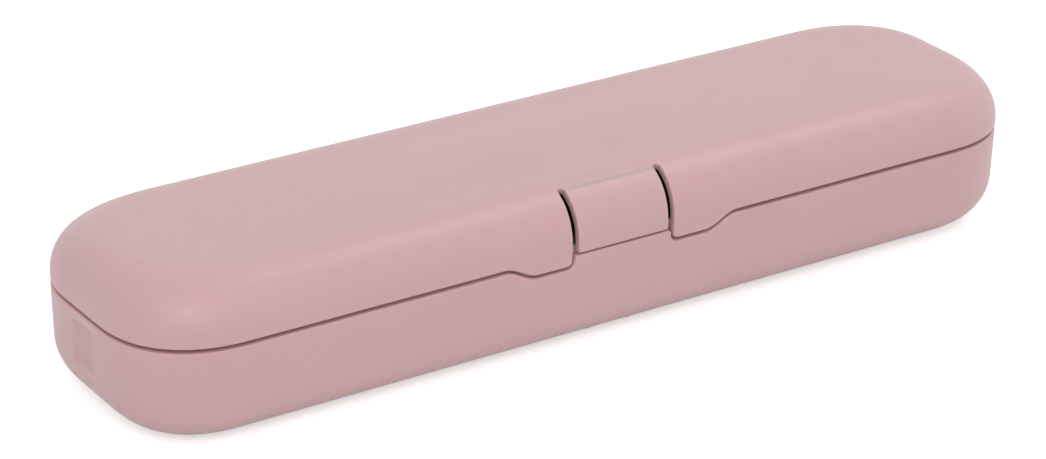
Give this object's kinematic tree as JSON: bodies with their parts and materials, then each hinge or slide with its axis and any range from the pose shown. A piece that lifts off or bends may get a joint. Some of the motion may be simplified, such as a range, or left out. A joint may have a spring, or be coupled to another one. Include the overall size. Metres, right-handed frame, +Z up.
{
  "type": "electric toothbrush travel case",
  "caption": "Long rounded travel case for an electric toothbrush, with a hinged domed lid and a flexing snap latch tab at the front.",
  "frame": {"origin": "centre of the flat underside, midway between the ends and between the front and back walls", "axes": "+X along the case, -Y towards the front with the latch tab, +Z up"},
  "size_m": [0.215, 0.061, 0.0355],
  "materials": {
    "case_plastic": "satin",
    "tray_plastic": "satin",
    "pad_silicone": "matte",
    "pin_steel": "satin"
  },
  "bodies": {
    "base": {"base_shell": "case_plastic", "hinge_pin_left": "pin_steel", "hinge_pin_right": "pin_steel", "inner_tray": "tray_plastic", "trough_pad_left": "pad_silicone", "trough_pad_right": "pad_silicone"},
    "lid": {"lid_shell": "case_plastic", "lid_pad_left": "pad_silicone", "lid_pad_right": "pad_silicone"},
    "latch": {"latch_tab": "case_plastic"}
  },
  "joints": [
    {"name": "lid_hinge", "type": "hinge", "parent": "base", "child": "lid", "pos_m": [0, 0.03045, 0.022], "axis": [-1, 0, 0], "range_deg": [0, 120]},
    {"name": "latch_flex", "type": "hinge", "parent": "lid", "child": "latch", "pos_m": [0, -0.02166, 0.03306], "axis": [-1, 0, 0], "range_deg": [0, 6], "stiffness_Nm_per_rad": 0.3}
  ]
}
